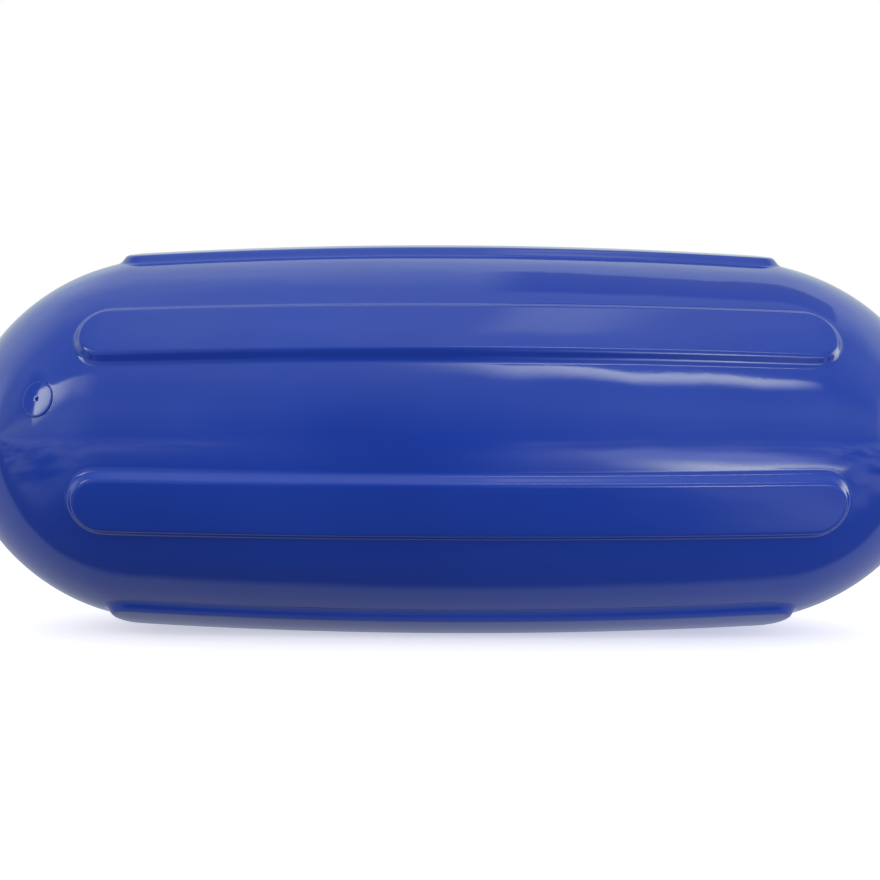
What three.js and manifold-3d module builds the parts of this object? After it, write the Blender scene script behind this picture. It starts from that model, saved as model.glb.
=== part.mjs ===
// Inflatable boat fender: a ribbed vinyl barrel with a moulded rope eye at each end.
// Millimetres. X runs along the fender, Z is up, and the fender lies on its belly at Z = 0.

import * as THREE from "three";
import { mergeVertices } from "three/addons/utils/BufferGeometryUtils.js";
import Module from "manifold-3d";

const wasm = await Module();
wasm.setup();

// Driving dimensions
const OVERALL_LENGTH = 686;
const RIBBED_DIAMETER = 216;

// Raised ribs with round ends, evenly spaced around the barrel
const RIB_COUNT = 8;
const RIB_HEIGHT = 3.5;
const RIB_HALF_WIDTH = 12.3;
const RIB_HALF_LENGTH = 171.2;
const RIB_WALL_RUN = 3.4;
const RIB_STRAIGHT = RIB_HALF_LENGTH - RIB_HALF_WIDTH;

// The barrel swells gently to its middle, then closes in two half-elliptic caps
const BELLY_RADIUS = RIBBED_DIAMETER / 2 - RIB_HEIGHT;
const BARREL_DROP = 5.25;
const BARREL_DROP_AT = 171.7;
const CAP_START = 160.7;
const CAP_LENGTH = 102;

// Rope eye: a flat tab with a round end, flared into the cap
const EYE_RADIUS = 30;
const EYE_THICKNESS = 34;
const EYE_EDGE_ROUND = 5;
const EYE_FLARE_RADIUS = 30;
const EYE_FLARE_SINK = 0.5;
const EYE_ROOT_DEPTH = 14;
const EYE_CENTRE = OVERALL_LENGTH / 2 - EYE_RADIUS;
const ROPE_HOLE_RADIUS = 12;

// Neck: the round stem that carries the tab and narrows inside it
const NECK_RADIUS = 26;
const NECK_FLARE_RADIUS = 26;
const NECK_TIP_RADIUS = 12;
const NECK_TIP_MARGIN = 6;
const NECK_TIP = EYE_CENTRE - ROPE_HOLE_RADIUS - NECK_TIP_MARGIN;

// Air valve: a plug with a flat round head, set flush in the left shoulder
const VALVE_X = -189;
const VALVE_ANGLE = 5.1;
const VALVE_HEAD_RADIUS = 8.3;
const VALVE_HEAD_THICKNESS = 1.8;
const VALVE_HEAD_SINK = 0.3;
const VALVE_SHANK_RADIUS = 5;
const VALVE_SHANK_LENGTH = 10;
const NEEDLE_HOLE_RADIUS = 0.8;
const NEEDLE_HOLE_DEPTH = 6;
const VALVE_CLEARANCE = 0.3;

// Facet counts
const BODY_FACETS = 64;
const NECK_FACETS = 40;
const BARREL_STEPS = 10;
const CAP_STEPS = 10;
const FLARE_STEPS = 5;
const NECK_STEPS = 4;
const RIB_END_STEPS = 8;
const RIB_SIDE_STEPS = 10;
const EYE_END_STEPS = 14;
const EDGE_STEPS = 2;
const VALVE_FACETS = 32;

// How far a cutting or joining shape runs past the surface that it meets
const OVERRUN = 3;

// How closely the start of a flare is found, and how far apart corners may be and still merge
const FLARE_TOLERANCE = 1e-6;
const MERGE_TOLERANCE = 1e-4;

const DEGREE = Math.PI / 180;
const QUARTER_TURN = Math.PI / 2;

// Radius of the bare body at a distance along X from the middle
function bodyRadius(x) {
  const distance = Math.abs(x);
  const barrel = BELLY_RADIUS - BARREL_DROP * (distance / BARREL_DROP_AT) ** 2;
  const intoCap = Math.max(0, distance - CAP_START) / CAP_LENGTH;
  return barrel * Math.sqrt(Math.max(0, 1 - intoCap ** 2));
}

function bodySlope(x) {
  const step = 0.01;
  return (bodyRadius(x + step) - bodyRadius(x - step)) / (2 * step);
}

// Concave arc, as points (x, r), that leaves the cap on a tangent and ends level at stemRadius
function flare(stemRadius, arcRadius) {
  let low = CAP_START;
  let high = CAP_START + CAP_LENGTH - OVERRUN;
  while (high - low > FLARE_TOLERANCE) {
    const x = (low + high) / 2;
    const centreRadius = bodyRadius(x) + arcRadius / Math.hypot(1, bodySlope(x));
    if (centreRadius > stemRadius + arcRadius) {
      low = x;
    } else {
      high = x;
    }
  }
  const lean = Math.atan(-bodySlope(low));
  const centre = low + arcRadius * Math.sin(lean);
  const points = [];
  for (let i = 0; i <= FLARE_STEPS; i += 1) {
    const angle = lean * (1 - i / FLARE_STEPS);
    const x = centre - arcRadius * Math.sin(angle);
    const r = stemRadius + arcRadius * (1 - Math.cos(angle));
    points.push([x, r]);
  }
  return points;
}

// Closed solid of a geometry, ready to join or cut
function toSolid(geometry) {
  const bare = geometry.clone();
  bare.deleteAttribute("normal");
  bare.deleteAttribute("uv");
  const welded = mergeVertices(bare, MERGE_TOLERANCE);
  const triVerts = Uint32Array.from(welded.index.array);
  const vertProperties = Float32Array.from(welded.attributes.position.array);
  return new wasm.Manifold(new wasm.Mesh({ numProp: 3, vertProperties, triVerts }));
}

function toGeometry(solid) {
  const mesh = solid.getMesh();
  const geometry = new THREE.BufferGeometry();
  geometry.setAttribute("position", new THREE.BufferAttribute(mesh.vertProperties, 3));
  geometry.setIndex(new THREE.BufferAttribute(mesh.triVerts, 1));
  geometry.computeVertexNormals();
  return geometry;
}

// Turned solid along X from points (x, r), which start and end on the axis
function turned(points, facets) {
  const profile = points.map(([x, r]) => new THREE.Vector2(r, x));
  return toSolid(new THREE.LatheGeometry(profile, facets).rotateZ(-QUARTER_TURN));
}

// One half of the body's profile, from the middle to the cap's pole, lifted by a height
function halfProfile(lift) {
  const points = [];
  for (let i = 0; i < BARREL_STEPS / 2; i += 1) {
    const x = (CAP_START * i) / (BARREL_STEPS / 2);
    points.push([x, bodyRadius(x) + lift]);
  }
  for (let i = 0; i < CAP_STEPS; i += 1) {
    const x = CAP_START + CAP_LENGTH * Math.sin((QUARTER_TURN * i) / CAP_STEPS);
    points.push([x, bodyRadius(x) + lift]);
  }
  points.push([CAP_START + CAP_LENGTH + lift, 0]);
  return points;
}

function mirrored(points) {
  const left = points.filter(([x]) => x > 0).map(([x, r]) => [-x, r]);
  return left.reverse().concat(points);
}

// Barrel with its two caps, closed at the poles
function barrel() {
  return turned(mirrored(halfProfile(0)), BODY_FACETS);
}

// Round stem from inside the cap, out along the flare and into the tab
function neck() {
  const arc = flare(NECK_RADIUS, NECK_FLARE_RADIUS);
  const points = [[arc[0][0] - OVERRUN, 0]];
  points.push([arc[0][0] - OVERRUN, arc[0][1] - OVERRUN]);
  points.push(...arc);
  const arcEnd = arc[arc.length - 1][0];
  for (let i = 1; i <= NECK_STEPS; i += 1) {
    const turn = (QUARTER_TURN * i) / NECK_STEPS;
    const x = arcEnd + (NECK_TIP - arcEnd) * Math.sin(turn);
    const r = NECK_TIP_RADIUS + (NECK_RADIUS - NECK_TIP_RADIUS) * Math.cos(turn);
    points.push([x, r]);
  }
  points.push([NECK_TIP, 0]);
  return turned(points, NECK_FACETS);
}

// Flat tab with a round end and a rope hole, its edges and the hole's rims rounded
function eyeTab() {
  const arc = flare(EYE_RADIUS, EYE_FLARE_RADIUS);
  const root = arc[0][0] - EYE_ROOT_DEPTH;
  const outline = new THREE.Shape();
  outline.moveTo(root, -arc[0][1] + OVERRUN);
  arc.forEach(([x, r]) => outline.lineTo(x, -r + EYE_FLARE_SINK));
  outline.absarc(EYE_CENTRE, 0, EYE_RADIUS, -QUARTER_TURN, QUARTER_TURN, false);
  arc.reverse().forEach(([x, r]) => outline.lineTo(x, r - EYE_FLARE_SINK));
  outline.lineTo(root, arc[arc.length - 1][1] - OVERRUN);
  outline.closePath();
  const hole = new THREE.Path();
  hole.absarc(EYE_CENTRE, 0, ROPE_HOLE_RADIUS, 0, 4 * QUARTER_TURN, true);
  outline.holes.push(hole);
  const geometry = new THREE.ExtrudeGeometry(outline, {
    depth: EYE_THICKNESS - 2 * EYE_EDGE_ROUND,
    bevelThickness: EYE_EDGE_ROUND,
    bevelSize: EYE_EDGE_ROUND,
    bevelOffset: -EYE_EDGE_ROUND,
    bevelSegments: EDGE_STEPS,
    curveSegments: EYE_END_STEPS,
  });
  geometry.translate(0, 0, EYE_EDGE_ROUND - EYE_THICKNESS / 2);
  return toSolid(geometry.rotateX(QUARTER_TURN));
}

// Neck and tab of the right-hand end
function eyeEnd() {
  return neck().add(eyeTab());
}

// Flat outline of a rib, a long strip with half-round ends, with points along its sides
function ribOutline() {
  const points = [];
  const sideStep = (2 * RIB_STRAIGHT) / RIB_SIDE_STEPS;
  for (const side of [1, -1]) {
    for (let i = 0; i <= RIB_END_STEPS; i += 1) {
      const angle = (i / RIB_END_STEPS - 0.5) * 2 * QUARTER_TURN;
      const x = RIB_STRAIGHT + RIB_HALF_WIDTH * Math.cos(angle);
      const s = RIB_HALF_WIDTH * Math.sin(angle);
      points.push(new THREE.Vector2(side * x, side * s));
    }
    for (let i = 1; i < RIB_SIDE_STEPS; i += 1) {
      const x = RIB_STRAIGHT - i * sideStep;
      points.push(new THREE.Vector2(side * x, side * RIB_HALF_WIDTH));
    }
  }
  return points;
}

// Rib blank: the outline wrapped around the barrel, its walls leaning in as they rise
function ribBlank() {
  const run = RIB_WALL_RUN / RIB_HEIGHT;
  const levels = [-OVERRUN, RIB_HEIGHT + BARREL_DROP + OVERRUN];
  const outline = new THREE.Shape(ribOutline());
  const geometry = new THREE.ExtrudeGeometry(outline, { depth: 1, bevelEnabled: false });
  const position = geometry.attributes.position;
  for (let i = 0; i < position.count; i += 1) {
    const level = levels[Math.round(position.getZ(i))];
    const centreX = THREE.MathUtils.clamp(position.getX(i), -RIB_STRAIGHT, RIB_STRAIGHT);
    const spread = 1 + ((RIB_HEIGHT - level) * run) / RIB_HALF_WIDTH;
    const x = centreX + (position.getX(i) - centreX) * spread;
    const angle = (position.getY(i) * spread) / bodyRadius(x);
    const r = bodyRadius(x) + level;
    position.setXYZ(i, x, r * Math.sin(angle), r * Math.cos(angle));
  }
  return toSolid(geometry);
}

// All ribs: the blanks trimmed to the barrel's own curve, one rib height above it
function ribs() {
  const skin = turned(mirrored(halfProfile(RIB_HEIGHT)), BODY_FACETS);
  const blank = toGeometry(ribBlank());
  const pitch = (4 * QUARTER_TURN) / RIB_COUNT;
  let all = null;
  for (let i = 0; i < RIB_COUNT; i += 1) {
    const one = toSolid(blank.clone().rotateX(pitch * (i + 0.5)));
    all = all ? all.add(one) : one;
  }
  return all.intersect(skin);
}

// Stands a shape made along Y, with its top face at Y = 0, into the shoulder at the valve's place
function placeAtValve(geometry) {
  const lean = Math.atan(bodySlope(VALVE_X));
  geometry.translate(0, -VALVE_HEAD_SINK, 0);
  geometry.rotateZ(lean);
  geometry.translate(VALVE_X, bodyRadius(VALVE_X), 0);
  return geometry.rotateX(2 * QUARTER_TURN - VALVE_ANGLE * DEGREE);
}

// Stepped plug from its face down, grown by a clearance on every side
function valveShape(clearance, rise) {
  const headDepth = VALVE_HEAD_THICKNESS + clearance;
  const headRadius = VALVE_HEAD_RADIUS + clearance;
  const shankDepth = VALVE_HEAD_THICKNESS + VALVE_SHANK_LENGTH + clearance;
  const shankRadius = VALVE_SHANK_RADIUS + clearance;
  const profile = [
    new THREE.Vector2(0, -shankDepth),
    new THREE.Vector2(shankRadius, -shankDepth),
    new THREE.Vector2(shankRadius, -headDepth),
    new THREE.Vector2(headRadius, -headDepth),
    new THREE.Vector2(headRadius, rise),
    new THREE.Vector2(0, rise),
  ];
  return new THREE.LatheGeometry(profile, VALVE_FACETS);
}

function valveSeat() {
  return toSolid(placeAtValve(valveShape(VALVE_CLEARANCE, OVERRUN)));
}

function valvePlug() {
  const needle = new THREE.CylinderGeometry(
    NEEDLE_HOLE_RADIUS,
    NEEDLE_HOLE_RADIUS,
    NEEDLE_HOLE_DEPTH + OVERRUN,
    VALVE_FACETS / 2,
  );
  needle.translate(0, (OVERRUN - NEEDLE_HOLE_DEPTH) / 2, 0);
  const plug = toSolid(placeAtValve(valveShape(0, 0)));
  return plug.subtract(toSolid(placeAtValve(needle)));
}

// Whole moulding: barrel, ribs and both ends in one piece, with the valve's seat cut in
function fenderBody() {
  const rightEnd = eyeEnd();
  const leftEnd = toSolid(toGeometry(rightEnd).rotateZ(2 * QUARTER_TURN));
  return barrel().add(ribs()).add(rightEnd).add(leftEnd).subtract(valveSeat());
}

// Named mesh, lifted so that the belly touches Z = 0
function piece(name, solid, colour, roughness) {
  const geometry = toGeometry(solid).translate(0, 0, BELLY_RADIUS);
  const material = new THREE.MeshStandardMaterial({ color: colour, roughness, metalness: 0 });
  const mesh = new THREE.Mesh(geometry, material);
  mesh.name = name;
  return mesh;
}

const VINYL_BLUE = 0x24469f;
const VALVE_BLUE = 0x213f96;

const fender = new THREE.Group();
fender.name = "boat_fender";
fender.add(piece("fender_body", fenderBody(), VINYL_BLUE, 0.22));
fender.add(piece("valve_plug", valvePlug(), VALVE_BLUE, 0.26));

export default fender;
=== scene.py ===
"""A blue ribbed boat fender on a white table, seen from close by."""

import math

import bpy
from mathutils import Matrix, Vector


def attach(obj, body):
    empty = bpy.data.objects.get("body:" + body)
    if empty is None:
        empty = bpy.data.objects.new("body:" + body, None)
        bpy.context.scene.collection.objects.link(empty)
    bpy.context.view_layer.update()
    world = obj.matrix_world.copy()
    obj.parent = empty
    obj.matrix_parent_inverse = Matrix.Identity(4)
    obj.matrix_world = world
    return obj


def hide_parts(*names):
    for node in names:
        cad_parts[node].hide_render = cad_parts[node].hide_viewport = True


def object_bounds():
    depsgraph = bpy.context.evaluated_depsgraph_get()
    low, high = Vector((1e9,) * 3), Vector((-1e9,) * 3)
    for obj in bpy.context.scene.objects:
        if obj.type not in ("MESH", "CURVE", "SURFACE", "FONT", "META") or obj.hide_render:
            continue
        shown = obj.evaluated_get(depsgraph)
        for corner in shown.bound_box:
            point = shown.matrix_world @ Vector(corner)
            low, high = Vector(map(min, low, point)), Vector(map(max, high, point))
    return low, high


bl_info = {
    "name": "Boat Fender",
    "version": (1, 0, 0),
    "blender": (4, 5, 0),
    "location": "View3D > Sidebar > Boat Fender",
    "description": "Builds a ribbed inflatable boat fender and the studio it lies in",
    "category": "Add Mesh",
}

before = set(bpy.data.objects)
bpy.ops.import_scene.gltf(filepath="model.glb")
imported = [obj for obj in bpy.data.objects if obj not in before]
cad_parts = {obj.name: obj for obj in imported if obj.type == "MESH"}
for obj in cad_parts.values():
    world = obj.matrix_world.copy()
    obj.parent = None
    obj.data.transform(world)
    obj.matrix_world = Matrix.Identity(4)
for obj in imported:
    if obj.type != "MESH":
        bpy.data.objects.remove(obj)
cad_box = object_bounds()
cad_size = cad_box[1] - cad_box[0]

BODY_NODE = "fender_body"
VALVE_NODE = "valve_plug"


# Settings


def length(label, about, metres):
    """Length property with its label, its description and its value in metres"""
    return bpy.props.FloatProperty(
        name=label, description=about, default=metres, precision=5, unit="LENGTH"
    )


def rotation(label, about, degrees):
    """Angle property with its label, its description and its value in degrees"""
    return bpy.props.FloatProperty(
        name=label, description=about, default=math.radians(degrees), unit="ROTATION"
    )


def fraction(label, about, value):
    """Property from 0 to 1 with its label, its description and its value"""
    return bpy.props.FloatProperty(name=label, description=about, default=value, min=0, max=1)


def colour(label, about, value):
    """Colour property with its label, its description and its value"""
    return bpy.props.FloatVectorProperty(
        name=label, description=about, default=value, subtype="COLOR", min=0, max=1
    )


class FenderShape(bpy.types.PropertyGroup):
    """Sizes of the moulded body"""

    belly_radius: length("Belly radius", "Bare barrel's radius at its middle", cad_size.z / 2)
    barrel_drop: length("Barrel drop", "Fall of the barrel's radius at the drop distance", 0.00525)
    drop_distance: length("Drop distance", "Where the barrel drop is measured", 0.1717)
    cap_start: length("Cap start", "Distance from the middle where a cap begins to close", 0.1607)
    cap_length: length("Cap length", "Length of a cap from its start to its pole", 0.102)


class RibShape(bpy.types.PropertyGroup):
    """Sizes of the raised ribs"""

    count: bpy.props.IntProperty(name="Count", description="Ribs around the barrel", default=8)
    height: length("Height", "How far a rib's face stands above the barrel", 0.0035)
    half_width: length("Half width", "Half the width of a rib's face", 0.0118)
    half_length: length("Half length", "Half the length of a rib's face", 0.1712)
    wall_run: length("Wall run", "How far a rib's wall leans out over its height", 0.0034)
    foot_round: length("Foot rounding", "Radius between the barrel and a rib's wall", 0.0044)
    edge_round: length("Edge rounding", "Radius between a rib's wall and its face", 0.0032)


class EyeShape(bpy.types.PropertyGroup):
    """Sizes of the rope eyes"""

    overall: length("Overall length", "Length of the fender over both eyes", cad_size.x)
    radius: length("Radius", "Radius of the tab's round end", 0.03)
    thickness: length("Thickness", "Thickness of the tab", 0.034)
    flare: length("Flare", "Radius of the tab's flare into the cap", 0.03)
    neck: length("Neck radius", "Radius of the round neck", 0.026)
    neck_flare: length("Neck flare", "Radius of the neck's flare into the cap", 0.026)
    neck_end: length(
        "Neck end", "Distance from the middle where the neck is as thin as the tab", 0.2945
    )
    hole: length("Hole radius", "Radius of the rope hole", 0.012)


class ValveShape(bpy.types.PropertyGroup):
    """Sizes and place of the air valve"""

    along: length("Along", "Place of the valve along the fender", -0.189)
    angle: rotation("Angle", "Place of the valve above the front of the fender", 5.1)
    radius: length("Radius", "Radius of the plug's head", 0.0083)
    thickness: length("Thickness", "Thickness of the plug's head", 0.0018)
    rim_round: length("Rim rounding", "Width of the rounding on the plug's edges", 0.00018)
    dome: length("Dome", "Rise of the plug's face from its rim to its middle", 0.00036)
    sink: length("Sink", "Depth of the plug's rim below the shoulder", 0.0001)
    clearance: length("Clearance", "Gap between the plug and its seat", 0.00015)
    needle: length("Needle hole", "Radius of the needle hole", 0.0006)


class VinylLook(bpy.types.PropertyGroup):
    """Colour and gloss of the vinyl"""

    deep: colour("Deep colour", "Colour of the darker clouds", (0.0095, 0.045, 0.38))
    light: colour("Light colour", "Colour of the lighter clouds", (0.0115, 0.052, 0.42))
    roughness: fraction("Roughness", "Least roughness of the gloss", 0.06)
    haze: fraction("Haze", "Roughness that the clouds add", 0.03)
    swell: length("Swell", "Height of the soft swells in the body's surface", 0.00065)
    valve_swell: length("Valve swell", "Height of the swells in the valve's surface", 0.00002)
    grain: length("Grain", "Height of the fine grain", 0.000008)


class CameraSettings(bpy.types.PropertyGroup):
    """Place and lens of the camera"""

    along: length("Along", "Place of the camera along the fender", -0.0265)
    distance: length("Distance", "Distance from the camera to the fender's axis", 0.427)
    elevation: rotation("Elevation", "Height of the camera over the axis, as an angle", -5.78)
    roll: rotation("Roll", "Turn of the camera about its line of sight", 0.22)
    lens: bpy.props.FloatProperty(
        name="Lens", description="Focal length in millimetres on a 36 mm sensor", default=30.52
    )
    shift: bpy.props.FloatProperty(
        name="Shift", description="Sideways shift of the frame, in frame widths", default=0.0465
    )


# Body outline

SLOPE_STEP = 0.00001
# A flare leaves the cap at least this far before the cap's pole
POLE_MARGIN = 0.003
FLARE_ACCURACY = 0.00000001


def body_radius(shape, x):
    """Bare body's radius at a distance along the fender from its middle"""
    distance = abs(x)
    barrel = shape.belly_radius - shape.barrel_drop * (distance / shape.drop_distance) ** 2
    into_cap = max(0.0, distance - shape.cap_start) / shape.cap_length
    return barrel * math.sqrt(max(0.0, 1 - into_cap**2))


def body_slope(shape, x):
    """Change of the bare body's radius along the fender"""
    rise = body_radius(shape, x + SLOPE_STEP) - body_radius(shape, x - SLOPE_STEP)
    return rise / (2 * SLOPE_STEP)


def flare_start(shape, stem, arc):
    """Place on the cap where an arc leaves it on a tangent to end level at a stem's radius"""
    low = shape.cap_start
    high = shape.cap_start + shape.cap_length - POLE_MARGIN
    while high - low > FLARE_ACCURACY:
        x = (low + high) / 2
        centre = body_radius(shape, x) + arc / math.hypot(1, body_slope(shape, x))
        if centre > stem + arc:
            low = x
        else:
            high = x
    return low


def flared_radius(shape, stem, arc, x):
    """Radius along the cap, the flare and the stem"""
    start = flare_start(shape, stem, arc)
    if x <= start:
        return body_radius(shape, x)
    centre = start + arc * math.sin(math.atan(-body_slope(shape, start)))
    if x >= centre:
        return stem
    return stem + arc - math.sqrt(arc**2 - (centre - x) ** 2)


def ease(value, low, high):
    """Smooth step from 0 at low to 1 at high"""
    part = min(1.0, max(0.0, (value - low) / (high - low)))
    return part * part * (3 - 2 * part)


def mix(first, second, factor):
    """Value between two, from the first at factor 0 to the second at factor 1"""
    return first + (second - first) * factor


# Mesh helpers

# Two places nearer than this are the same, and a ring is picked out with the wider margin
SAME_PLACE = 0.00001
RING_MARGIN = 0.0001


def activate(piece):
    """Makes a piece the only selected and active one, in object mode"""
    if bpy.context.object and bpy.context.object.mode == "EDIT":
        bpy.ops.object.mode_set(mode="OBJECT")
    bpy.ops.object.select_all(action="DESELECT")
    piece.select_set(True)
    bpy.context.view_layer.objects.active = piece


def edit(piece, select_mode="VERT"):
    """Opens a piece for editing with nothing selected"""
    activate(piece)
    bpy.ops.object.mode_set(mode="EDIT")
    bpy.ops.mesh.select_mode(type=select_mode)
    bpy.ops.mesh.select_all(action="DESELECT")


def close_edit():
    """Goes back to object mode"""
    bpy.ops.object.mode_set(mode="OBJECT")


def select_where(piece, test):
    """Selects the vertices that pass a test of their position, and what lies between them"""
    edit(piece)
    close_edit()
    for vertex in piece.data.vertices:
        vertex.select = test(vertex.co)
    bpy.ops.object.mode_set(mode="EDIT")


def select_faces_where(piece, test):
    """Selects the faces that pass a test"""
    edit(piece, "FACE")
    close_edit()
    for face in piece.data.polygons:
        face.select = test(face)
    bpy.ops.object.mode_set(mode="EDIT")


def place_selected(piece, target):
    """Moves each selected vertex to the place that target gives for its position"""
    close_edit()
    for vertex in piece.data.vertices:
        if vertex.select:
            vertex.co = target(vertex.co.copy())
    bpy.ops.object.mode_set(mode="EDIT")


def extrude_to(piece, target):
    """Extrudes the selected edges and moves the new vertices to their targets"""
    bpy.ops.mesh.extrude_edges_move()
    place_selected(piece, target)


def extrude_faces_down(depth):
    """Extrudes the selected faces downwards"""
    bpy.ops.mesh.extrude_region_move(TRANSFORM_OT_translate={"value": (0, 0, -depth)})


def next_place(pairs):
    """Target for each vertex: the second place of the pair whose first place it is at"""
    return lambda co: min(pairs, key=lambda pair: (pair[0] - co).length)[1]


def weld(piece, distance=SAME_PLACE):
    """Merges doubled vertices and turns all normals outward"""
    edit(piece)
    bpy.ops.mesh.select_all(action="SELECT")
    bpy.ops.mesh.remove_doubles(threshold=distance)
    bpy.ops.mesh.normals_make_consistent(inside=False)
    close_edit()


def turn_piece(piece, angle, axis):
    """Turns a piece about one of the scene's axes and applies the turn"""
    activate(piece)
    bpy.ops.transform.rotate(value=angle, orient_axis=axis, center_override=(0, 0, 0))
    bpy.ops.object.transform_apply(location=True, rotation=True, scale=True)


def subdivide_surface(piece, levels):
    """Applies a subdivision surface"""
    activate(piece)
    modifier = piece.modifiers.new("Smooth surface", "SUBSURF")
    modifier.levels = levels
    modifier.render_levels = levels
    bpy.ops.object.modifier_apply(modifier=modifier.name)


# Rib sector

RIB_END_SIDES = 34
RIB_SIDE_CUTS = 28
BAND_CUTS = 4
# Rings of faces around a rib: distances out from its wall's foot and from its face's edge,
# and then shares of its face's half width
FOOT_STEPS = (0.0022, 0.0016, 0.0011, 0.0006, 0.0001, -0.0005, -0.0012)
EDGE_STEPS = (0.0009, 0.0003, -0.0003, -0.0009, -0.0016)
FACE_PARTS = (0.78, 0.5, 0.25)
# How far the outermost ring lies outside the wall's foot
OUTLINE_MARGIN = 0.0034
# The innermost ring lies this share of the way from the one before to the rib's middle line,
# and is then drawn onto that line with all that is within this share of the half width
MIDDLE_INSET = 0.9
MIDDLE_BAND = 0.1


def rib_height_at(rib, distance):
    """Height of a rib above the barrel at a distance from its middle line"""
    lean = math.atan2(rib.height, rib.wall_run)
    foot_reach = rib.foot_round * math.tan(lean / 2)
    edge_reach = rib.edge_round * math.tan(lean / 2)
    foot = rib.half_width + rib.wall_run
    if distance >= foot + foot_reach:
        return 0.0
    if distance <= rib.half_width - edge_reach:
        return rib.height
    if distance > foot - foot_reach * math.cos(lean):
        into = foot + foot_reach - distance
        return rib.foot_round - math.sqrt(rib.foot_round**2 - into**2)
    if distance < rib.half_width + edge_reach * math.cos(lean):
        into = distance - (rib.half_width - edge_reach)
        return rib.height - rib.edge_round + math.sqrt(rib.edge_round**2 - into**2)
    return (foot - distance) * math.tan(lean)


class SectorMaker:
    """One sector of the barrel with its rib, made flat and then wrapped"""

    def __init__(self, shape, rib, sector_end):
        self.shape = shape
        self.rib = rib
        self.sector_end = sector_end
        self.half_angle = math.pi / rib.count
        self.straight = rib.half_length - rib.half_width
        self.edge = shape.belly_radius * self.half_angle
        self.outer = rib.half_width + rib.wall_run + OUTLINE_MARGIN

    def make(self):
        """Flat sheet with rings that follow the rib's outline"""
        corner_radius = self.outer / math.cos(math.pi / RIB_END_SIDES)
        bpy.ops.mesh.primitive_circle_add(vertices=RIB_END_SIDES, radius=corner_radius)
        piece = bpy.context.object
        # This puts a corner of the circle at each tip of the rib
        turn_piece(piece, math.pi / 2, "Z")
        self.stretch(piece)
        self.add_rings(piece)
        self.close_middle(piece)
        self.widen(piece)
        self.wrap(piece)
        return piece

    def stretch(self, piece):
        """Pulls the circle's halves apart into a long outline with round ends"""
        for side in (1, -1):
            select_where(piece, lambda co: co.x * side > 0)
            bpy.ops.transform.translate(value=(side * self.straight, 0, 0))
            close_edit()
        edit(piece, "EDGE")
        close_edit()
        for line in piece.data.edges:
            ends = [piece.data.vertices[i].co.x for i in line.vertices]
            line.select = ends[0] * ends[1] < 0
        bpy.ops.object.mode_set(mode="EDIT")
        bpy.ops.mesh.subdivide(number_cuts=RIB_SIDE_CUTS)
        close_edit()

    def add_rings(self, piece):
        """Insets the outline down the wall and across the face of the rib"""
        rib = self.rib
        foot = rib.half_width + rib.wall_run
        distances = [foot + step for step in FOOT_STEPS]
        distances += [rib.half_width + step for step in EDGE_STEPS]
        distances += [rib.half_width * part for part in FACE_PARTS]
        edit(piece)
        bpy.ops.mesh.select_all(action="SELECT")
        bpy.ops.mesh.edge_face_add()
        bpy.ops.mesh.select_mode(type="FACE")
        last = self.outer
        for distance in distances:
            bpy.ops.mesh.inset(thickness=last - distance, depth=0)
            last = distance
        bpy.ops.mesh.inset(thickness=last * MIDDLE_INSET, depth=0)
        bpy.ops.mesh.delete(type="ONLY_FACE")
        close_edit()

    def close_middle(self, piece):
        """Closes the innermost ring onto the rib's middle line"""
        inner = self.rib.half_width * MIDDLE_BAND
        select_where(piece, lambda co: self.distance(co) < inner)
        place_selected(piece, lambda co: Vector((co.x, 0, 0)))
        close_edit()
        weld(piece)

    def distance(self, co):
        """Distance on the flat sheet from the rib's middle line"""
        beyond = max(0.0, abs(co.x) - self.straight)
        return math.hypot(beyond, co.y)

    def widen(self, piece):
        """Carries the outline out to the sector's straight edges"""
        outer = self.outer - RING_MARGIN
        select_where(piece, lambda co: self.distance(co) > outer)
        close_edit()
        starts = [vertex.co.copy() for vertex in piece.data.vertices if vertex.select]
        ways = [(start, self.on_sector_edge(start)) for start in starts]
        bpy.ops.object.mode_set(mode="EDIT")
        for cut in range(BAND_CUTS):
            earlier = cut / BAND_CUTS
            part = (cut + 1) / BAND_CUTS
            pairs = [(start.lerp(end, earlier), start.lerp(end, part)) for start, end in ways]
            extrude_to(piece, next_place(pairs))
        close_edit()

    def on_sector_edge(self, co):
        """Point of the sector's outline that faces a point of the rib's outline"""
        if abs(co.x) <= self.straight:
            return Vector((co.x, math.copysign(self.edge, co.y), 0))
        side = math.copysign(1, co.x)
        turn = math.atan2(co.y, abs(co.x) - self.straight)
        step = 2 * math.pi / RIB_END_SIDES
        # The last corner of the rib's round end, and the one that faces the sector's corner
        last = step * (RIB_END_SIDES // 4)
        corner = step * (RIB_END_SIDES // 8)
        if abs(turn) > corner + step / 2:
            part = (abs(turn) - corner) / (last - corner)
            x = mix(self.sector_end, self.straight, part)
            return Vector((side * x, math.copysign(self.edge, co.y), 0))
        return Vector((side * self.sector_end, self.edge * turn / corner, 0))

    def wrap(self, piece):
        """Bends the flat sheet around the barrel and raises the rib"""
        near = self.outer
        for vertex in piece.data.vertices:
            x, across = vertex.co.x, vertex.co.y
            local = body_radius(self.shape, x)
            spread = min(1.0, max(0.0, (abs(across) - near) / (self.edge - near)))
            if abs(x) > self.straight + near:
                spread = max(spread, ease(abs(x), self.straight + near, self.sector_end))
            angle = across / mix(local, self.shape.belly_radius, spread)
            radius = local + rib_height_at(self.rib, self.distance(vertex.co))
            vertex.co = (x, radius * math.sin(angle), radius * math.cos(angle))


# Rope eye

RING_SIDES = 16
EYE_SMOOTHING = 2
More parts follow.
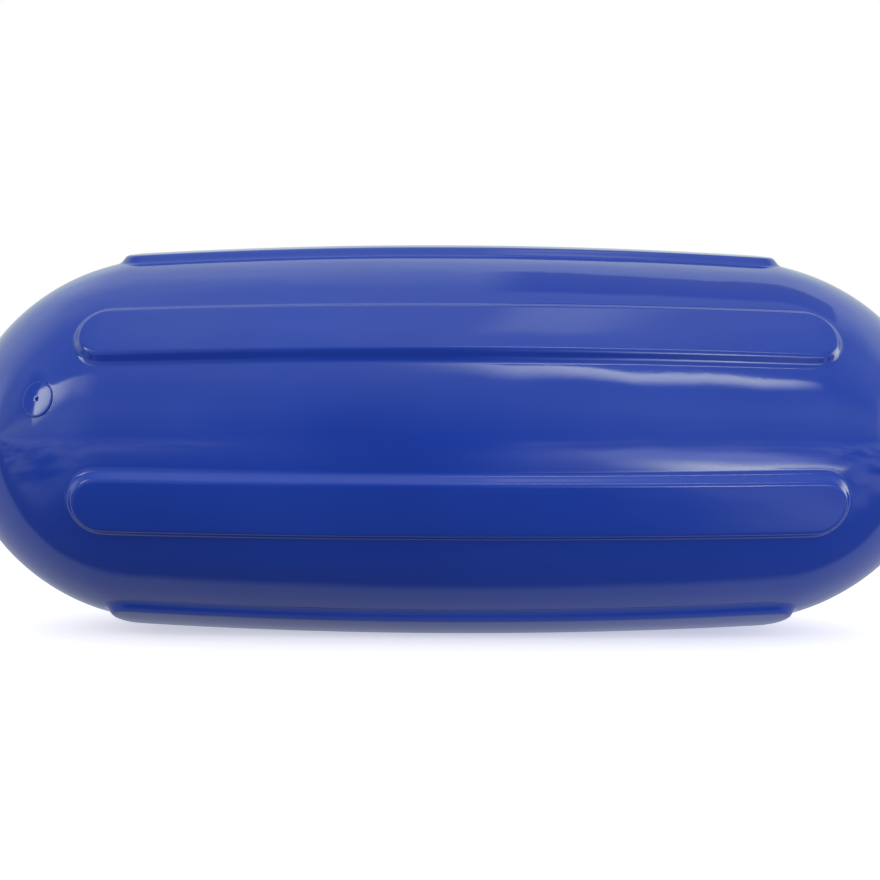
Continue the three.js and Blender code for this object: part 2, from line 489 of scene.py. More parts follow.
# Corners of the tab's section as shares of its half thickness and half height
CHEEK = 0.55
SQUARE_RING = [
    (0, 1), (CHEEK, 1), (1, 1), (1, CHEEK), (1, 0), (1, -CHEEK), (1, -1), (CHEEK, -1),
    (0, -1), (-CHEEK, -1), (-1, -1), (-1, -CHEEK), (-1, 0), (-1, CHEEK), (-1, 1), (-CHEEK, 1),
]
# A subdivision surface draws its cage in, so round parts of the cage are this much larger
NECK_GROW = 1.026
TIP_GROW = 1.02
HOLE_GROW = 1.108
# Places of the neck's rings beyond the cap, the length over which the neck thins to the
# tab, and how far beyond the cap it is still round
NECK_STEPS = (0, 0.008, 0.016, 0.024, 0.032, 0.041, 0.051)
NECK_THINNING = 0.026
NECK_ROUND = 0.016
# How far the tab's first ring lies behind the hole's middle, and the angles around that
# middle at which the rings in front of it meet the tab's round end
BACK_ROW = 0.0145
FRONT_TURN = math.radians(68)
TIP_TURN = math.radians(46)
TIP_HALF_TURN = math.radians(23)
# Cage rings around the hole: the border in hole radii, and then for each ring how far it is
# out from the hole's wall and how deep below the cheek
HOLE_BORDER = 1.62
HOLE_RINGS = ((0.005, 0), (0.0018, 0.0007), (0.0002, 0.0035), (0, 0.009))


class EyeMaker:
    """Neck and rope eye of the right-hand end, as a coarse cage under a subdivision surface"""

    def __init__(self, shape, eye, start):
        self.shape = shape
        self.eye = eye
        self.start = start
        self.centre = eye.overall / 2 - eye.radius
        self.half = eye.thickness / 2
        self.border = eye.hole * HOLE_BORDER
        self.tip_reach = eye.radius * TIP_GROW

    def make(self):
        """Extrudes the neck ring by ring into the tab, then opens the hole"""
        rings = self.cage_rings()
        bpy.ops.mesh.primitive_circle_add(vertices=RING_SIDES, radius=1)
        piece = bpy.context.object
        select_where(piece, lambda co: True)
        place_selected(piece, lambda co: rings[0][self.ring_index(co)])
        for ring, next_ring in zip(rings, rings[1:]):
            extrude_to(piece, next_place(list(zip(ring, next_ring))))
        close_edit()
        self.close_tip(piece)
        self.open_hole(piece)
        subdivide_surface(piece, EYE_SMOOTHING)
        self.true_ring(piece)
        return piece

    def ring_index(self, co):
        """Place in a ring of a corner of the starting circle"""
        return round(math.atan2(co.x, co.y) / (2 * math.pi) * RING_SIDES) % RING_SIDES

    def cage_rings(self):
        """Cage rings from the cap to the far side of the hole"""
        rings = [self.neck_ring(self.start + step) for step in NECK_STEPS]
        return rings + [self.tab_row(-1), self.tab_row(0), self.tab_row(1), self.tip_row()]

    def neck_ring(self, x):
        """Ring that turns from round to the tab's flat section"""
        eye = self.eye
        half_z = flared_radius(self.shape, eye.radius, eye.flare, x)
        half_y = flared_radius(self.shape, eye.neck, eye.neck_flare, x)
        thinning = ease(x, eye.neck_end - NECK_THINNING, eye.neck_end)
        half_y = mix(half_y, self.half, thinning)
        square = ease(x, self.start + NECK_ROUND, eye.neck_end)
        grow = mix(NECK_GROW, 1, square)
        ring = []
        for index, (flat_y, flat_z) in enumerate(SQUARE_RING):
            turn = 2 * math.pi * index / RING_SIDES
            y = mix(math.sin(turn), flat_y, square) * half_y * grow
            z = mix(math.cos(turn), flat_z, square) * half_z * grow
            ring.append(Vector((x, y, z)))
        return ring

    def tab_row(self, row):
        """Ring across the tab before, at or after the middle of the hole: row -1, 0 or 1"""
        side_x, side_z = row * BACK_ROW, self.eye.radius
        if row > 0:
            side_x = self.tip_reach * math.cos(FRONT_TURN)
            side_z = self.tip_reach * math.sin(FRONT_TURN)
        around = self.border * (math.sqrt(0.5) if row else 1)
        ring = []
        for flat_y, flat_z in SQUARE_RING:
            if abs(flat_z) == 1:
                x, z = side_x, flat_z * side_z
            elif flat_z == 0:
                x, z = row * self.border, 0
            else:
                x, z = row * around, math.copysign(around, flat_z)
            ring.append(Vector((self.centre + x, flat_y * self.half, z)))
        return ring

    def tip_row(self):
        """Last ring, which lies along the tab's round end"""
        ring = []
        for flat_y, flat_z in SQUARE_RING:
            turn = TIP_TURN * flat_z
            if 0 < abs(flat_z) < 1:
                turn = math.copysign(TIP_HALF_TURN, flat_z)
            x = self.centre + self.tip_reach * math.cos(turn)
            ring.append(Vector((x, flat_y * self.half, self.tip_reach * math.sin(turn))))
        return ring

    def close_tip(self, piece):
        """Closes the round end with rows of faces from one cheek to the other"""
        end = self.centre + self.tip_reach * math.cos(TIP_TURN) - RING_MARGIN
        half = self.half
        select_where(piece, lambda co: co.x > end and co.y > half - SAME_PLACE)
        rows = (1, CHEEK, 0, -CHEEK, -1)
        for before, after in zip(rows, rows[1:]):
            step = (after - before) * half
            extrude_to(piece, lambda co: co + Vector((0, step, 0)))
        close_edit()
        weld(piece)

    def open_hole(self, piece):
        """Opens both cheeks, rounds the rims and joins them through the tab"""
        centre = self.centre
        select_where(piece, lambda co: math.hypot(co.x - centre, co.z) < SAME_PLACE)
        bpy.ops.mesh.delete(type="VERT")
        wall = self.eye.hole * HOLE_GROW
        for side in (1, -1):
            self.round_rim(piece, side, wall)
        near = wall + RING_MARGIN
        depth = self.half - HOLE_RINGS[-1][1] + SAME_PLACE
        select_where(
            piece, lambda co: abs(co.y) < depth and math.hypot(co.x - centre, co.z) < near
        )
        bpy.ops.mesh.bridge_edge_loops(number_cuts=1)
        close_edit()
        weld(piece)

    def round_rim(self, piece, side, wall):
        """Extrudes the hole's rim on one cheek inward and down to the wall of the hole"""
        centre = self.centre
        ring_radius = self.border
        level = self.half
        for out, depth in HOLE_RINGS:
            near = ring_radius + RING_MARGIN
            select_where(
                piece,
                lambda co: abs(co.y * side - level) < SAME_PLACE
                and math.hypot(co.x - centre, co.z) < near,
            )
            scale = (wall + out) / ring_radius
            y = side * (self.half - depth)
            extrude_to(
                piece, lambda co: Vector((centre + (co.x - centre) * scale, y, co.z * scale))
            )
            ring_radius = wall + out
            level = self.half - depth

    def true_ring(self, piece):
        """Puts the open end's corners exactly on the cap"""
        radius = body_radius(self.shape, self.start)
        step = 2 * math.pi / (RING_SIDES * 2**EYE_SMOOTHING)
        for vertex in piece.data.vertices:
            if abs(vertex.co.x - self.start) < SAME_PLACE:
                turn = round(math.atan2(vertex.co.y, vertex.co.z) / step) * step
                vertex.co = (self.start, radius * math.sin(turn), radius * math.cos(turn))


# Body

# Distances from the middle where the sectors end, and of the rings from there to the eyes
SECTOR_END = 0.205
CAP_RINGS = (0.212, 0.219, 0.226, 0.232, 0.238)
BODY_SMOOTHING = 1
# The eyes' open ends are merged with the caps' where their corners are nearer than this
EYE_SEAM = 0.00003
SMOOTH_ANGLE = math.radians(35)


def barrel_with_ribs(shape, rib):
    """One sector turned into place and repeated around the fender"""
    sector = SectorMaker(shape, rib, SECTOR_END).make()
    pitch = 2 * math.pi / rib.count
    turn_piece(sector, pitch / 2, "X")
    edit(sector)
    bpy.ops.mesh.select_all(action="SELECT")
    bpy.ops.mesh.spin(
        steps=rib.count - 1,
        dupli=True,
        angle=pitch * (rib.count - 1),
        center=(0, 0, 0),
        axis=(1, 0, 0),
    )
    close_edit()
    weld(sector)
    return sector


def close_towards_eyes(shape, piece):
    """Carries both ends of the barrel along the caps to where the eyes begin"""
    for side in (1, -1):
        last = SECTOR_END
        select_where(piece, lambda co: abs(co.x * side - last) < SAME_PLACE)
        for place in CAP_RINGS:
            scale = body_radius(shape, place) / body_radius(shape, last)
            extrude_to(piece, lambda co: Vector((side * place, co.y * scale, co.z * scale)))
            last = place
        close_edit()


def join(pieces):
    """Joins pieces into the first"""
    activate(pieces[0])
    for piece in pieces[1:]:
        piece.select_set(True)
    bpy.ops.object.join()


def moulded_body(shape, rib, eye):
    """Barrel, caps and both rope eyes as one closed skin, lying on its belly"""
    body = barrel_with_ribs(shape, rib)
    close_towards_eyes(shape, body)
    right = EyeMaker(shape, eye, CAP_RINGS[-1]).make()
    left = right.copy()
    left.data = right.data.copy()
    bpy.context.scene.collection.objects.link(left)
    turn_piece(left, math.pi, "Z")
    join([body, right, left])
    weld(body, EYE_SEAM)
    subdivide_surface(body, BODY_SMOOTHING)
    activate(body)
    bpy.ops.transform.translate(value=(0, 0, shape.belly_radius))
    bpy.ops.object.transform_apply(location=True, rotation=True, scale=True)
    return body


def finish_piece(piece, name, material, node):
    """Names, shades and paints a piece, and puts it on the frame"""
    piece.name = name
    piece.data.name = name
    piece.data.materials.clear()
    piece.data.materials.append(material)
    activate(piece)
    bpy.ops.object.shade_smooth_by_angle(angle=SMOOTH_ANGLE)
    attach(piece, "root")
    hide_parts(node)


# Air valve

SHANK_RADIUS = 0.005
SHANK_LENGTH = 0.01
NEEDLE_DEPTH = 0.006
VALVE_SIDES = 96
FACE_RINGS = 8
RIM_STEPS = 3
# How far the cutter of the seat stands out of the shoulder
CUTTER_RISE = 0.003


def valve_matrix(shape, valve):
    """Place of the valve: its own Z axis leaves the shoulder squarely"""
    lean = math.atan(body_slope(shape, valve.along))
    out = Vector((-math.sin(lean), 0, math.cos(lean)))
    spot = Vector((valve.along, 0, body_radius(shape, valve.along))) - out * valve.sink
    lift = Matrix.Translation((0, 0, shape.belly_radius))
    turn = Matrix.Rotation(math.pi / 2 - valve.angle, 4, "X")
    return lift @ turn @ Matrix.Translation(spot) @ Matrix.Rotation(-lean, 4, "Y")


def stepped_plug(valve, grow, rise):
    """Round head on a shank, with its face at Z = rise and its sides grown outward"""
    bpy.ops.object.select_all(action="DESELECT")
    bpy.ops.mesh.primitive_circle_add(
        vertices=VALVE_SIDES, radius=valve.radius + grow, fill_type="NGON", location=(0, 0, rise)
    )
    piece = bpy.context.object
    bpy.ops.object.transform_apply(location=True, rotation=True, scale=True)
    edit(piece, "FACE")
    bpy.ops.mesh.select_all(action="SELECT")
    extrude_faces_down(valve.thickness + grow + rise)
    bpy.ops.mesh.inset(thickness=valve.radius - SHANK_RADIUS, depth=0)
    extrude_faces_down(SHANK_LENGTH)
    close_edit()
    weld(piece)
    return piece


def cut_seat(shape, valve, body):
    """Cuts the valve's seat out of the shoulder"""
    cutter = stepped_plug(valve, valve.clearance, CUTTER_RISE)
    cutter.data.transform(valve_matrix(shape, valve))
    activate(body)
    modifier = body.modifiers.new("Valve seat", "BOOLEAN")
    modifier.operation = "DIFFERENCE"
    modifier.solver = "EXACT"
    modifier.object = cutter
    bpy.ops.object.modifier_apply(modifier=modifier.name)
    bpy.data.objects.remove(cutter)


def valve_plug(shape, valve):
    """Plug with a softened rim and a needle hole in the middle of its domed face"""
    plug = stepped_plug(valve, 0, 0)
    select_faces_where(plug, lambda face: abs(face.center.z) < SAME_PLACE)
    step = (valve.radius - valve.needle) / FACE_RINGS
    for _ in range(FACE_RINGS):
        bpy.ops.mesh.inset(thickness=step, depth=0)
    extrude_faces_down(NEEDLE_DEPTH)
    close_edit()
    for vertex in plug.data.vertices:
        if vertex.co.z > -valve.thickness / 2:
            part = math.hypot(vertex.co.x, vertex.co.y) / valve.radius
            vertex.co.z += valve.dome * (1 - part**2)
    modifier = plug.modifiers.new("Rim", "BEVEL")
    modifier.width = valve.rim_round
    modifier.segments = RIM_STEPS
    modifier.limit_method = "ANGLE"
    activate(plug)
    bpy.ops.object.modifier_apply(modifier=modifier.name)
    plug.data.transform(valve_matrix(shape, valve))
    return plug


# Materials

WHITE = (1, 1, 1, 1)
VINYL_IOR = 1.5
# Values of the cloudy noise where the vinyl's colour starts and stops to change
VINYL_CLOUD = (0.3, 0.7)


class Socket:
    """Wraps a node socket so that shader sums read as plain arithmetic"""

    def __init__(self, shader, link):
        self.shader = shader
        self.link = link

    def output(self, name):
        """Another output of the same node"""
        return Socket(self.shader, self.link.node.outputs[name])

    def __neg__(self):
        return self.shader.maths("MULTIPLY", self, -1)

    def __add__(self, other):
        return self.shader.maths("ADD", self, other)

    def __radd__(self, other):
        return self.shader.maths("ADD", other, self)

    def __sub__(self, other):
        return self.shader.maths("SUBTRACT", self, other)

    def __rsub__(self, other):
        return self.shader.maths("SUBTRACT", other, self)

    def __mul__(self, other):
        return self.shader.maths("MULTIPLY", self, other)

    def __rmul__(self, other):
        return self.shader.maths("MULTIPLY", other, self)

    def __truediv__(self, other):
        return self.shader.maths("DIVIDE", self, other)

    def __rtruediv__(self, other):
        return self.shader.maths("DIVIDE", other, self)


class Shader:
    """Makes the nodes of a material or a world"""

    def __init__(self, owner):
        owner.use_nodes = True
        self.tree = owner.node_tree
        self.tree.nodes.clear()

    def node(self, kind, settings=None, values=None, output=0):
        """Adds a node, sets it up, fills its sockets by name or place, and gives an output"""
        node = self.tree.nodes.new(kind)
        for name, setting in (settings or {}).items():
            if name == "stops":
                set_stops(node.color_ramp, setting)
            else:
                setattr(node, name, setting)
        for name, value in (values or {}).items():
            if isinstance(value, Socket):
                self.tree.links.new(value.link, node.inputs[name])
            else:
                node.inputs[name].default_value = value
        if not node.outputs:
            return None
        return Socket(self, node.outputs[output])

    def maths(self, operation, *values):
        """Math node with its values in order"""
        return self.node("ShaderNodeMath", {"operation": operation}, dict(enumerate(values)))

    def smooth(self, value, low, high):
        """Smooth step from 0 at low to 1 at high"""
        return self.node(
            "ShaderNodeMapRange",
            {"interpolation_type": "SMOOTHSTEP"},
            {"Value": value, "From Min": low, "From Max": high},
        )

    def band(self, value, start, full, fade, end):
        """Smooth rise from 0 at start to 1 at full, and smooth fall from fade to end"""
        return self.smooth(value, start, full) * (1 - self.smooth(value, fade, end))

    def mix_colour(self, factor, first, second):
        """Mix of two colours by a factor: the node's colour sockets are 6, 7 and output 2"""
        values = {0: factor, 6: first, 7: second}
        return self.node("ShaderNodeMix", {"data_type": "RGBA"}, values, output=2)

    def noise(self, place, scale, detail, roughness):
        """Cloudy noise around one half"""
        values = {"Vector": place, "Scale": scale, "Detail": detail, "Roughness": roughness}
        return self.node("ShaderNodeTexNoise", None, values)

    def parts(self, vector):
        """X, Y and Z of a vector"""
        split = self.node("ShaderNodeSeparateXYZ", None, {0: vector})
        return [split.output(axis) for axis in "XYZ"]

    def ray_kinds(self):
        """Switches that are 1 for rays from the camera and for rays that a gloss mirrors"""
        path = self.node("ShaderNodeLightPath")
        return path.output("Is Camera Ray"), path.output("Is Glossy Ray")

    def glow(self, tint, strength):
        """Surface that gives off light"""
        return self.node("ShaderNodeEmission", None, {"Color": tint, "Strength": strength})


def set_stops(ramp, stops):
    """Gives a ramp its grey stops of place and brightness"""
    while len(ramp.elements) > 1:
        ramp.elements.remove(ramp.elements[-1])
    for index, (place, level) in enumerate(stops):
        stop = ramp.elements.new(place) if index else ramp.elements[0]
        stop.position = place
        stop.color = (level, level, level, 1)


def vinyl_material(name, look, swell_height):
    """Glossy clouded vinyl whose surface swells faintly by a height"""
    material = bpy.data.materials.new(name)
    shader = Shader(material)
    place = shader.node("ShaderNodeTexCoord", output="Object")
    swell = shader.noise(place, scale=20, detail=1.5, roughness=0.4)
    grain = shader.noise(place, scale=420, detail=2, roughness=0.5)
    cloud = shader.noise(place, scale=9, detail=3, roughness=0.55)
    wide = shader.node("ShaderNodeBump", None, {"Height": swell, "Distance": swell_height})
    fine = shader.node(
        "ShaderNodeBump", None, {"Height": grain, "Normal": wide, "Distance": look.grain}
    )
    tone = shader.smooth(cloud, *VINYL_CLOUD)
    tint = shader.mix_colour(tone, (*look.deep, 1), (*look.light, 1))
    roughness = cloud * look.haze + look.roughness
    surface = shader.node(
        "ShaderNodeBsdfPrincipled",
        None,
        {"Base Color": tint, "Roughness": roughness, "IOR": VINYL_IOR, "Normal": fine},
    )
    shader.node("ShaderNodeOutputMaterial", None, {"Surface": surface})
    return material


# Light around the fender

# Brightness that the gloss mirrors from around the fender's axis: 0 is level with the
# fender's front, 90 is overhead and 180 is behind it, in degrees
STUDIO_RING = [
    (-180, 0.7), (-8, 0.17), (4, 0.17), (14, 0.36), (24, 0.56), (34, 0.78), (46, 0.9), (60, 0.98),
    (75, 0.9), (90, 0.75), (107, 0.84), (130, 0.8), (180, 0.7),
]
# Brightness that the matt colour gathers from the same directions
MATT_RING = [
    (-180, 0.96), (-10, 0.58), (5, 0.96), (20, 1.58), (50, 1.58), (70, 0.78), (90, 0.5),
    (112, 0.62), (150, 1.15), (180, 0.96),
]
COOL = (1, 1.12, 1.02, 1)
CLOUD_DEPTH = 0.5
# Where the low light ends and where behind begins, as angles around the axis
LOW_END = (math.radians(8), math.radians(30))
BEHIND_START = (math.radians(75), math.radians(100))
# Fades and bands over the slant of a direction, which runs from -1 at the left to 1 at the
# right. A fade has a start and an end, and a band rises, stays and falls.
DIM_SIDES = 0.45
DIM_LEFT = (0.25, 0.7)
DIM_RIGHT = (0.3, 0.7)
BOTH_SIDES_GLOW = 0.25
BOTH_SIDES = (0.1, 0.45)
LEFT_SIDE_GLOW = 0.25
LEFT_SIDE = (0.5, 0.75)
RIGHT_SIDE_GLOW = 0.12
RIGHT_SIDE = (0.05, 0.3, 0.6, 0.9)


def studio_world():
    """Bright overhead and behind, darker ahead, and plain white to the camera"""
    world = bpy.data.worlds.new("Studio")
    bpy.context.scene.world = world
    shader = Shader(world)
    direction = shader.node("ShaderNodeTexCoord")
    x, y, z = shader.parts(direction)
    around = shader.maths("ARCTAN2", z, -y)
    ring = ring_light(shader, around, STUDIO_RING)
    matt = ring_light(shader, around, MATT_RING)
    high = shader.smooth(around, *LOW_END)
    ahead = 1 - shader.smooth(around, *BEHIND_START)
    dim_left = shader.smooth(-x, *DIM_LEFT) * DIM_SIDES * high * ahead
    dim_right = shader.smooth(x, *DIM_RIGHT) * DIM_SIDES * high * ahead
    sides = side_light(shader, x) * (1 - high)
    noise = shader.noise(direction, scale=4, detail=2, roughness=0.5)
    cloud = noise * CLOUD_DEPTH + (1 - CLOUD_DEPTH / 2)
    light = (ring * (1 - dim_left - dim_right) + sides) * cloud
    camera, gloss = shader.ray_kinds()
    strength = (light * gloss + matt * (1 - gloss)) * (1 - camera) + camera
    tint = shader.mix_colour(gloss, WHITE, COOL)
    glow = shader.node("ShaderNodeBackground", None, {"Color": tint, "Strength": strength})
    shader.node("ShaderNodeOutputWorld", None, {"Surface": glow})


def ring_light(shader, around, ring):
    """Brightness by the angle around the fender's axis"""
    stops = [(angle / 360 + 0.5, level) for angle, level in ring]
    place = around / (2 * math.pi) + 0.5
    return shader.node("ShaderNodeValToRGB", {"stops": stops}, {0: place})


def side_light(shader, slant):
    """Brightness that low light gains from ahead towards both sides"""
    both = shader.smooth(shader.maths("ABSOLUTE", slant), *BOTH_SIDES) * BOTH_SIDES_GLOW
    left = shader.smooth(-slant, *LEFT_SIDE) * LEFT_SIDE_GLOW
    right = shader.band(slant, *RIGHT_SIDE) * RIGHT_SIDE_GLOW
    return both + left + right


# Floor

FLOOR_SIZE = 60
CAMERA_WHITE_GLOW = 0.5
# Other rays see the floor as a painted fill glow, with painted shade under the fender and more
# glow to the right
FLOOR_FILL = 0.32
UNDER_PAINTED_SHADE = 0.07
RIGHT_FILL = 0.27
WARM = (1, 1.04, 0.8, 1)
FLOOR_COOL = (0.91, 0.98, 1.2, 1)
# Fades and bands in metres on the floor: across is to the right of the fender's middle, or
# to the left for what is at the left, ahead is in front of its axis, and reach is away from
# the axis on both sides
PAINTED_SHADE_REACH = (0.03, 0.2)
FILL_ACROSS = (-0.1, 0.3)
# Painted glow of the floor that only the vinyl's gloss mirrors: a dim base, brighter under the
# fender, and painted highlights in patches, a streak and a haze
FLOOR_GLOW = 0.13
UNDER_GLOW = 0.38
UNDER_AHEAD = (0.062, 0.07)
FAR_AHEAD = (0.25, 0.6)
PATCH_CLOUD = (0.35, 0.65)
PATCH_END = (0.6, 1.3)
RIGHT_PATCH_GLOW = 0.7
RIGHT_PATCH_ACROSS = (0.08, 0.2)
RIGHT_PATCH_AHEAD = (0.1, 0.14)
LEFT_PATCH_GLOW = 0.5
LEFT_PATCH_ACROSS = (0.22, 0.34)
LEFT_PATCH_AHEAD = (0.08, 0.14)
STREAK_GLOW = 6.6
STREAK_WARM = (0, 2)
STREAK_ACROSS = (0.14, 0.27, 0.38, 0.47)
STREAK_START = 0.284
STREAK_SOFT = 0.008
STREAK_HUMP = 0.034
HUMP_ACROSS = (0.24, 0.3, 0.33, 0.4)
STREAK_END = (0.33, 0.43)
STREAK_TAPER = 0.45
TAPER_START = 0.25
HAZE_GLOW = 1.9
HAZE_ACROSS = (0, 0.32, 0.32, 0.43)
HAZE_AHEAD = (0.25, 0.29, 0.46, 0.68)


def bright_streak(shader, x, ahead):
    """Painted highlight on the floor: a bright stretch at the front right, with a hump in its near
    edge and a tapered end
    """
    start = STREAK_START + shader.band(x, *HUMP_ACROSS) * STREAK_HUMP
    streak = shader.band(x, *STREAK_ACROSS) * STREAK_GLOW
    streak = streak * shader.smooth(ahead - start, 0, STREAK_SOFT)
    tapered = ahead + shader.maths("MAXIMUM", x - TAPER_START, 0) * STREAK_TAPER
    return streak * (1 - shader.smooth(tapered, *STREAK_END))


def painted_glow_patches(shader, place, x, ahead):
    """Clouded patches of painted glow at the front left and right"""
    right = shader.smooth(x, *RIGHT_PATCH_ACROSS) * shader.smooth(ahead, *RIGHT_PATCH_AHEAD)
    left = shader.smooth(-x, *LEFT_PATCH_ACROSS) * shader.smooth(ahead, *LEFT_PATCH_AHEAD)
    cloud = shader.smooth(shader.noise(place, scale=6, detail=2, roughness=0.5), *PATCH_CLOUD)
    near = 1 - shader.smooth(ahead, *PATCH_END)
    return (right * RIGHT_PATCH_GLOW + left * LEFT_PATCH_GLOW) * cloud * near


def mirrored_floor(shader, place, x, y):
    """Painted glow of the floor in what the vinyl mirrors: dim ahead, brighter under the fender,
    and painted highlights
    """
    ahead = -y
    distance = shader.maths("SQRT", x * x + y * y)
    under = (1 - shader.smooth(ahead, *UNDER_AHEAD)) * UNDER_GLOW
    patches = painted_glow_patches(shader, place, x, ahead)
    far = side_light(shader, x / distance) * shader.smooth(ahead, *FAR_AHEAD)
    streak = bright_streak(shader, x, ahead)
    # Painted highlight: a haze of glow at the front right
    haze = shader.band(x, *HAZE_ACROSS) * HAZE_GLOW * shader.band(ahead, *HAZE_AHEAD)
    tint = shader.mix_colour(shader.smooth(streak, *STREAK_WARM), FLOOR_COOL, WARM)
    return shader.glow(tint, under + patches + far + streak + haze + FLOOR_GLOW)


def floor_material():
    """White to the camera, with the shadow kept; to other rays a painted glow, with painted shade
    under the fender, and greyer with painted highlights in what the vinyl mirrors
    """
    material = bpy.data.materials.new("Floor")
    material.cycles.emission_sampling = "NONE"
    shader = Shader(material)
    place = shader.node("ShaderNodeTexCoord", output="Object")
    x, y, _ = shader.parts(place)
    camera, gloss = shader.ray_kinds()
    matt = shader.node("ShaderNodeBsdfDiffuse", None, {"Color": WHITE})
    white = shader.glow(WHITE, CAMERA_WHITE_GLOW)
    seen = shader.node("ShaderNodeAddShader", None, {0: matt, 1: white})
    # Painted shade: the fill glow is darker under the fender and brighter to the right
    under = 1 - shader.smooth(shader.maths("ABSOLUTE", y), *PAINTED_SHADE_REACH)
    fill = FLOOR_FILL - under * UNDER_PAINTED_SHADE + shader.smooth(x, *FILL_ACROSS) * RIGHT_FILL
    plain = shader.node(
        "ShaderNodeMixShader", None, {0: camera, 1: shader.glow(WHITE, fill), 2: seen}
    )
    mirrored = mirrored_floor(shader, place, x, y)
    both = shader.node("ShaderNodeMixShader", None, {0: gloss, 1: plain, 2: mirrored})
    shader.node("ShaderNodeOutputMaterial", None, {"Surface": both})
    return material


def studio_floor():
    """Wide flat floor under the fender"""
    bpy.ops.object.select_all(action="DESELECT")
    bpy.ops.mesh.primitive_plane_add(size=FLOOR_SIZE)
    floor = bpy.context.object
    floor.name = "Floor"
    floor.data.materials.append(floor_material())


# Cards of light and shade

# Corners of a new plane in the order in which a card's corners are given
PLANE_CORNERS = [(-1, -1), (1, -1), (1, 1), (-1, 1)]
# Each card's name, corners, brightness and the share of its width or height over which each
# side fades, in the order first, right, far, left
CARDS = [
    (
        "Left softbox",
        [(-1.0, -0.462, 0.12), (-1.0, -0.98, 0.40), (-1.0, -0.98, 0.78), (-1.0, -0.462, 0.42)],
        6.5,
        (0.4, 1.0, 0.04, 0.01),
    ),
    # Dark card: painted shade beside the softbox in what the gloss mirrors
    (
        "Left shade card",
        [(-1.0, -0.24, 0.16), (-1.0, -0.462, 0.16), (-1.0, -0.462, 0.6), (-1.0, -0.24, 0.6)],
        0.2,
        (0.35, 0, 0.35, 0.5),
    ),
    (
        "Left haze",
        [(-1.02, -0.6, 0.25), (-1.02, -1.5, 0.5), (-1.02, -1.5, 1.05), (-1.02, -0.6, 0.56)],
        1.7,
        (0.5, 0.6, 0.05, 0.3),
    ),
    (
        "Right strip",
        [(-0.1, -1.2, 0.76), (1.15, -1.2, 0.57), (1.15, -1.2, 0.73), (-0.1, -1.2, 1.0)],
        7.8,
        (1.0, 0.22, 0.05, 0.42),
    ),
    (
        "Right end card",
        [(1.0, -0.44, 0.01), (1.0, 0.36, 0.01), (1.0, 0.36, 0.36), (1.0, -0.44, 0.36)],
        3.0,
        (0.25, 0.3, 0.5, 0.3),
    ),
    (
        "Ceiling glow",
        [(0.12, -1.2, 1.5), (0.75, -1.1, 1.5), (0.75, -0.3, 1.5), (0.2, -0.3, 1.5)],
        1.9,
        (0.3, 0.5, 0.2, 0.3),
    ),
    # Dark card: painted shade in the ceiling that the gloss mirrors
    (
        "Ceiling shade card",
        [(0.14, -0.12, 1.5), (1.6, -0.12, 1.5), (1.5, 0.3, 1.5), (0.14, 0.44, 1.5)],
        0.36,
        (0.1, 0, 0.03, 0.12),
    ),
]


def card_material(name, brightness, soft):
    """Even glow that fades towards the sides that are soft"""
    material = bpy.data.materials.new(name)
    material.cycles.emission_sampling = "NONE"
    shader = Shader(material)
    u, v, _ = shader.parts(shader.node("ShaderNodeTexCoord", output="UV"))
    mask = 1
    for inward, share in zip((v, 1 - u, 1 - v, u), soft):
        if share:
            mask = mask * shader.smooth(inward, 0, share)
    clear = shader.node("ShaderNodeBsdfTransparent", None, {"Color": WHITE})
    glow = shader.glow(WARM, brightness)
    surface = shader.node("ShaderNodeMixShader", None, {0: mask, 1: clear, 2: glow})
    shader.node("ShaderNodeOutputMaterial", None, {"Surface": surface})
    return material


def studio_cards():
    """Cards that only the vinyl's gloss mirrors, two of them dark cards of painted shade"""
    for name, corners, brightness, soft in CARDS:
        bpy.ops.object.select_all(action="DESELECT")
        bpy.ops.mesh.primitive_plane_add(size=2)
        card = bpy.context.object
        card.name = name
        for vertex in card.data.vertices:
            corner = (round(vertex.co.x), round(vertex.co.y))
            vertex.co = corners[PLANE_CORNERS.index(corner)]
        card.data.materials.append(card_material(name, brightness, soft))
        card.visible_camera = False
        card.visible_diffuse = False
        card.visible_shadow = False


# Camera


def studio_camera(settings, shape):
    """Camera low in front of the fender, looking up at its axis"""
    data = bpy.data.cameras.new("Camera")
    data.lens = settings.lens
    data.shift_x = settings.shift
    camera = bpy.data.objects.new("Camera", data)
    bpy.context.scene.collection.objects.link(camera)
    camera.location = (
        settings.along,
        -settings.distance * math.cos(settings.elevation),
        shape.belly_radius + settings.distance * math.sin(settings.elevation),
    )
    tilt = Matrix.Rotation(math.pi / 2 - settings.elevation, 4, "X")
    camera.rotation_euler = (tilt @ Matrix.Rotation(settings.roll, 4, "Z")).to_euler()
    bpy.context.scene.camera = camera


# Operators


class MakeBody(bpy.types.Operator):
    """Makes the ribbed body with its rope eyes"""

    bl_idname = "fender.make_body"
    bl_label = "Make Body"

    def execute(self, context):
        scene = context.scene
        body = moulded_body(scene.fender_shape, scene.fender_ribs, scene.fender_eyes)
        cut_seat(scene.fender_shape, scene.fender_valve, body)
        look = scene.fender_look
        finish_piece(body, "body", vinyl_material("Blue vinyl", look, look.swell), BODY_NODE)
        return {"FINISHED"}


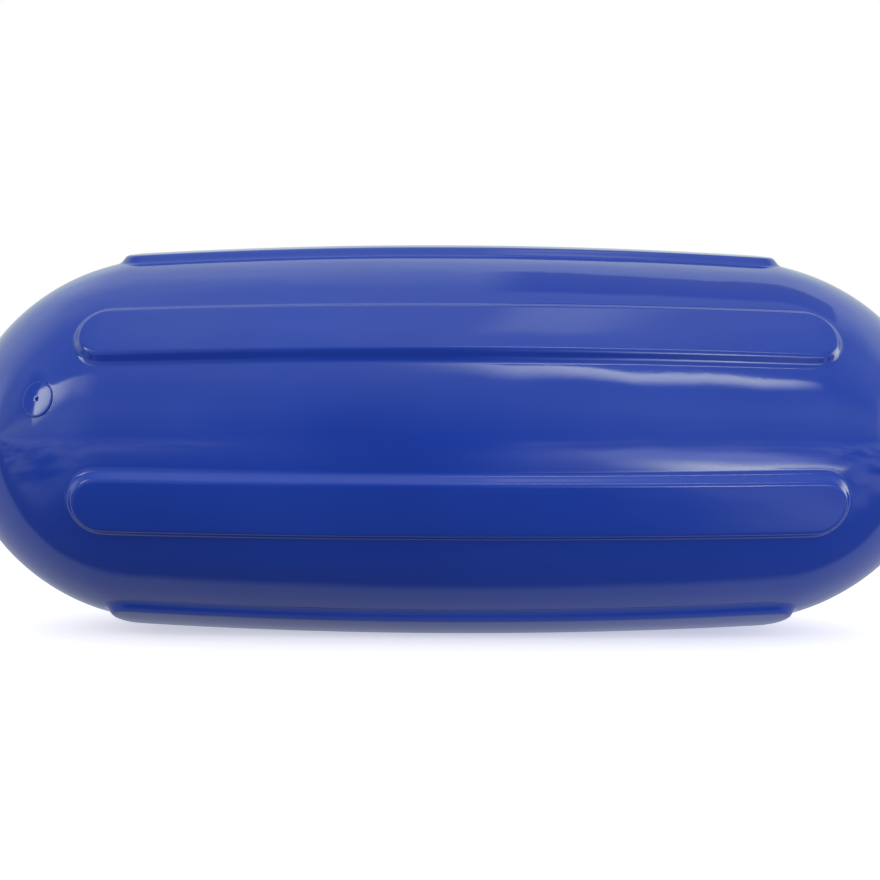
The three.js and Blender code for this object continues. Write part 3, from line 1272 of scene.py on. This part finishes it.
class MakeValve(bpy.types.Operator):
    """Makes the air valve's plug"""

    bl_idname = "fender.make_valve"
    bl_label = "Make Valve"

    def execute(self, context):
        scene = context.scene
        plug = valve_plug(scene.fender_shape, scene.fender_valve)
        look = scene.fender_look
        material = vinyl_material("Valve vinyl", look, look.valve_swell)
        finish_piece(plug, "valve", material, VALVE_NODE)
        return {"FINISHED"}


class MakeStudio(bpy.types.Operator):
    """Makes the light, the floor, the cards and the camera"""

    bl_idname = "fender.make_studio"
    bl_label = "Make Studio"

    def execute(self, context):
        studio_world()
        studio_floor()
        studio_cards()
        studio_camera(context.scene.fender_camera, context.scene.fender_shape)
        context.scene.view_settings.view_transform = "Standard"
        return {"FINISHED"}


class FenderPanel(bpy.types.Panel):
    """Sizes and steps of the boat fender"""

    bl_idname = "VIEW3D_PT_boat_fender"
    bl_label = "Boat Fender"
    bl_space_type = "VIEW_3D"
    bl_region_type = "UI"
    bl_category = "Boat Fender"

    def draw(self, context):
        layout = self.layout
        for name, group in SETTINGS.items():
            box = layout.box()
            box.label(text=group.__doc__)
            settings = getattr(context.scene, name)
            for prop in group.__annotations__:
                box.prop(settings, prop)
        for step in STEPS:
            layout.operator(step.bl_idname)


SETTINGS = {
    "fender_shape": FenderShape,
    "fender_ribs": RibShape,
    "fender_eyes": EyeShape,
    "fender_valve": ValveShape,
    "fender_look": VinylLook,
    "fender_camera": CameraSettings,
}
STEPS = (MakeBody, MakeValve, MakeStudio)


def register():
    """Adds the settings, the steps and the panel to Blender"""
    for group in (*SETTINGS.values(), *STEPS, FenderPanel):
        bpy.utils.register_class(group)
    for name, group in SETTINGS.items():
        setattr(bpy.types.Scene, name, bpy.props.PointerProperty(type=group))


def unregister():
    """Takes the settings, the steps and the panel out again"""
    for name in SETTINGS:
        delattr(bpy.types.Scene, name)
    for group in (FenderPanel, *reversed(STEPS), *SETTINGS.values()):
        bpy.utils.unregister_class(group)


def main():
    """Builds everything"""
    register()
    bpy.ops.fender.make_body()
    bpy.ops.fender.make_valve()
    bpy.ops.fender.make_studio()


if __name__ == "__main__":
    main()
